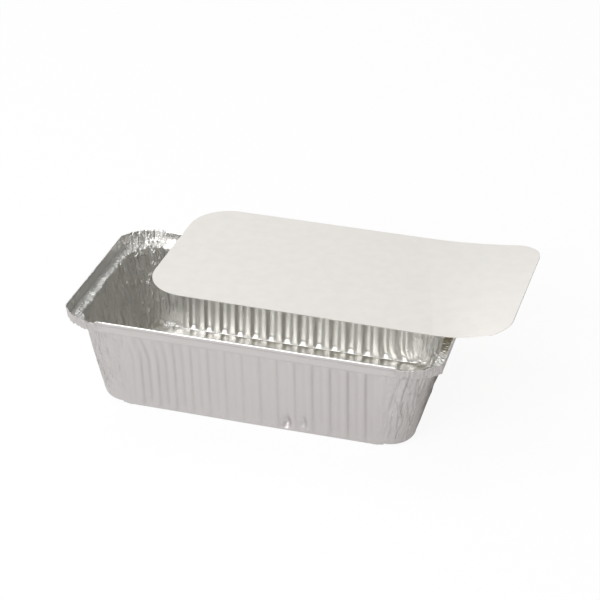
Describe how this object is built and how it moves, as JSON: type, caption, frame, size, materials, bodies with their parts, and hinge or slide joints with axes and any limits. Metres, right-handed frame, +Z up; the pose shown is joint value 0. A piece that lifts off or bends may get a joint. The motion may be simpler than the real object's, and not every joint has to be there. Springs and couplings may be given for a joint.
{
  "type": "foil food container",
  "caption": "Rectangular pressed aluminium foil food tray with fluted long walls, gathered corners and a hemmed rim, with a loose white board lid laid askew on top.",
  "frame": {"origin": "middle of the tray's base, on the underside that rests on a surface", "axes": "+X along the tray's length, +Y across it towards the side that the lid overhangs, +Z up out of the tray's mouth"},
  "size_m": [0.2544, 0.1527, 0.0711],
  "materials": {
    "foil": "bright rolled foil",
    "board": "matte clay-coated white board"
  },
  "bodies": {
    "root": {"foil_tray": "foil", "board_lid": "board"}
  },
  "joints": []
}
